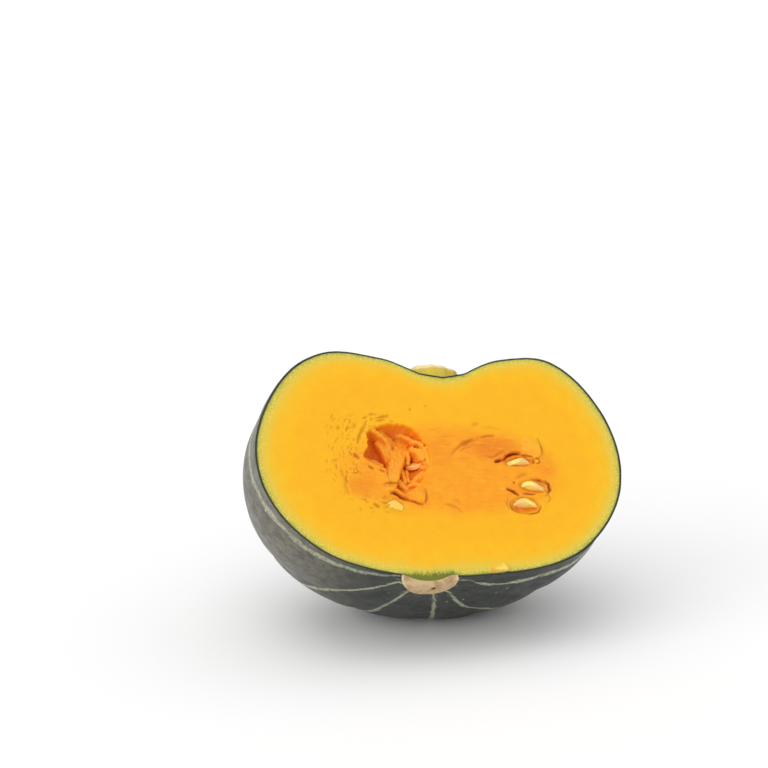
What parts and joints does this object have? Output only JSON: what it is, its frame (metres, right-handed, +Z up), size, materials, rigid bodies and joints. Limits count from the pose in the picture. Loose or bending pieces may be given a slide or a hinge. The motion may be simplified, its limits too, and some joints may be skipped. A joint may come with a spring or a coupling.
{
  "type": "buttercup squash half",
  "caption": "Buttercup squash cut from stem to flower end, lying on its dark ribbed rind, cut face tilted up: flesh, stringy pulp torn into a hollow, pale seeds and a corky stem scar.",
  "frame": {"origin": "Bottom centre of the half's box, on the surface that it lies on.", "axes": "+Z up; +X to the right along the squash's width; the cut face looks towards -Y and up."},
  "size_m": [0.1792, 0.1269, 0.1332],
  "materials": {
    "rind": null,
    "flesh": "Moist orange-yellow cut flesh, a little translucent, with deeper orange stringy pulp in the middle.",
    "cork": "Dry pale tan cork where the stem came away.",
    "seed": "Smooth cream seed coat, slightly glossy with juice."
  },
  "bodies": {
    "root": {"squash_half": "rind", "stem_scar": "cork", "seed_right_upper": "seed", "seed_right_middle": "seed", "seed_right_lower": "seed", "seed_in_hollow": "seed", "seed_left_lower": "seed"}
  },
  "joints": []
}
